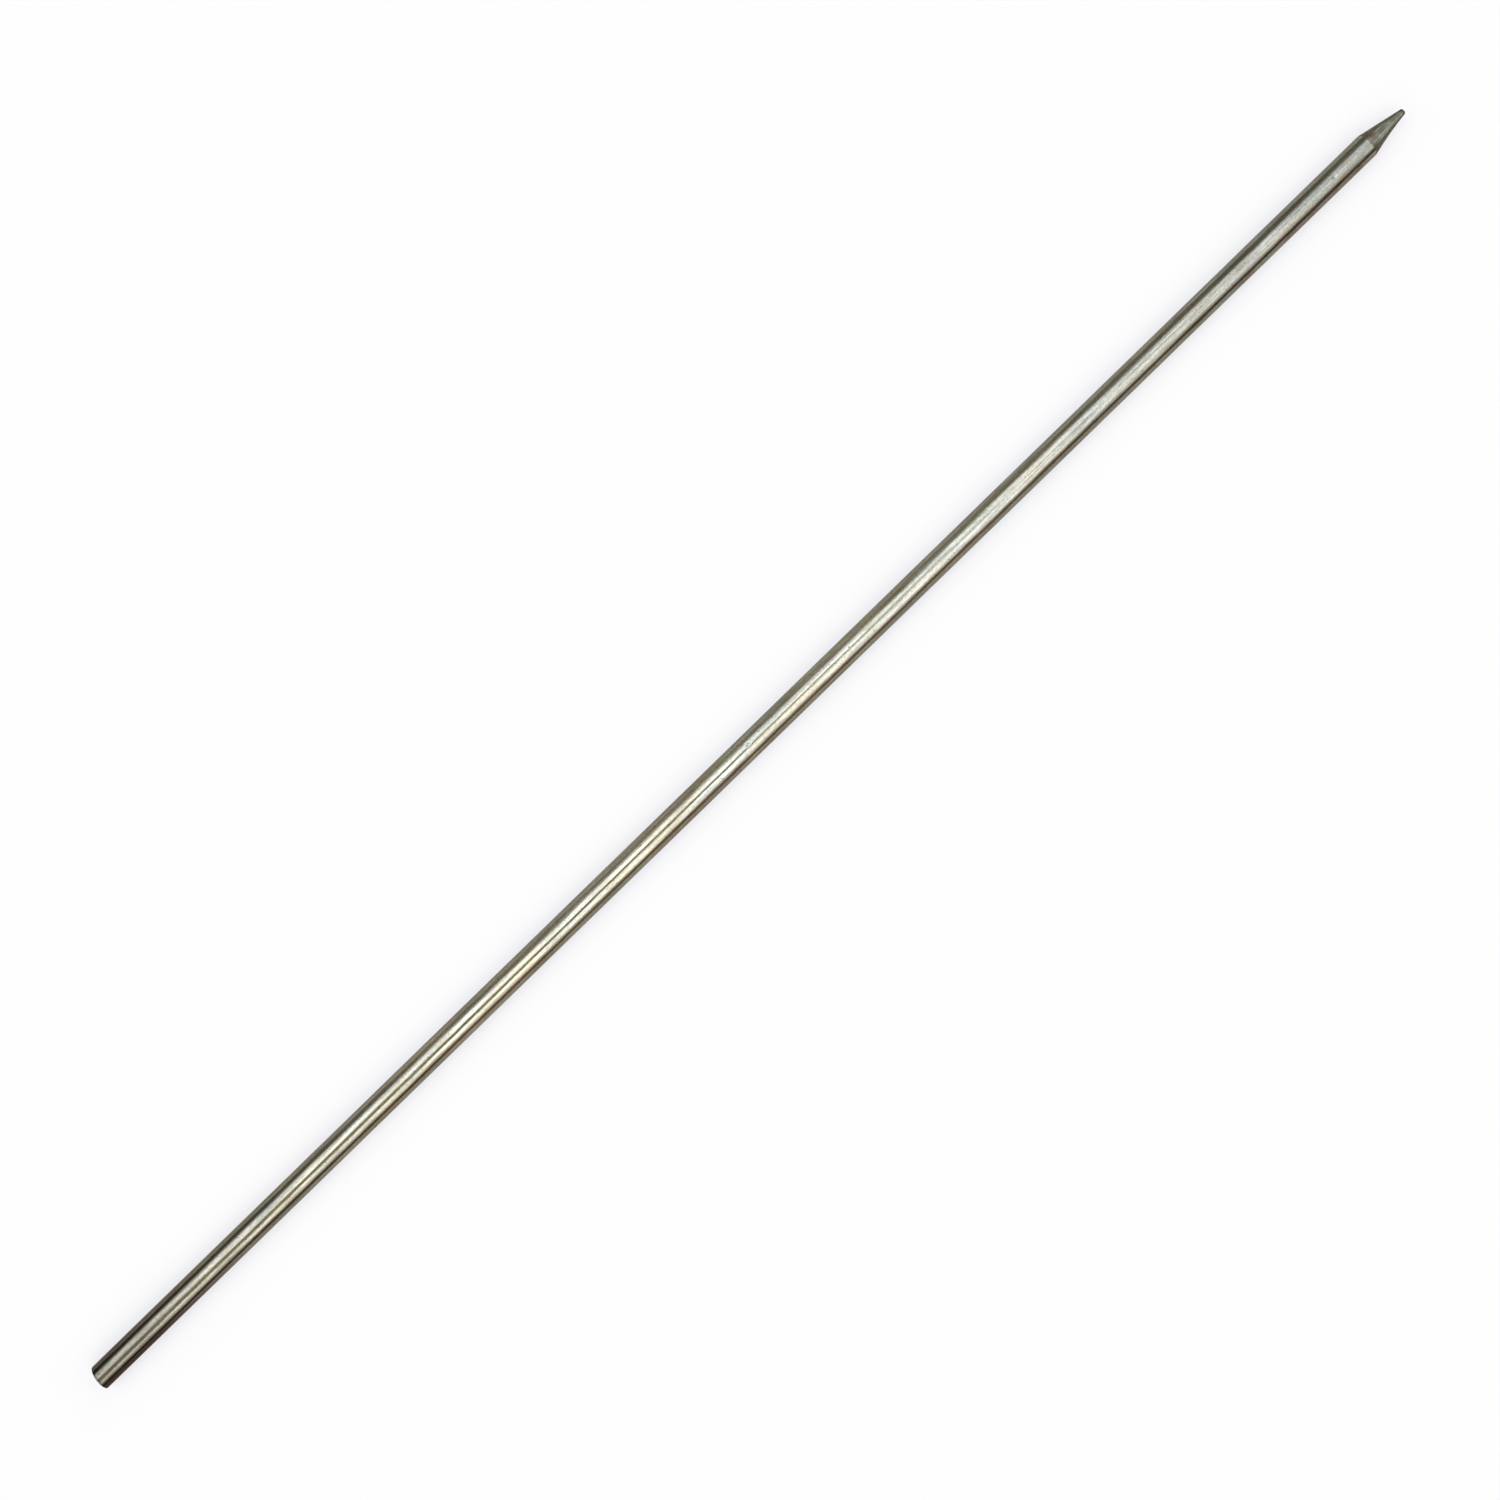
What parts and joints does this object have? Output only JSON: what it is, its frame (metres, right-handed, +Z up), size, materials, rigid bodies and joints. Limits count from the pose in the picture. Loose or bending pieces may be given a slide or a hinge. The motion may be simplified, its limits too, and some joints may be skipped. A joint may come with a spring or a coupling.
{
  "type": "pointed steel rod",
  "caption": "Straight round bright steel rod, ground to a short blunt point at one end and cut off almost square at the other.",
  "frame": {"origin": "where the rod's axis meets the butt face", "axes": "+X along the rod's axis, towards the point; +Z up, with the rod lying level and the longer side of the cut butt at -Y"},
  "size_m": [0.2102, 0.003, 0.003],
  "materials": {
    "bright_steel": "drawn and polished lengthwise, matt where the point is ground"
  },
  "bodies": {
    "root": {"rod": "bright_steel"}
  },
  "joints": []
}
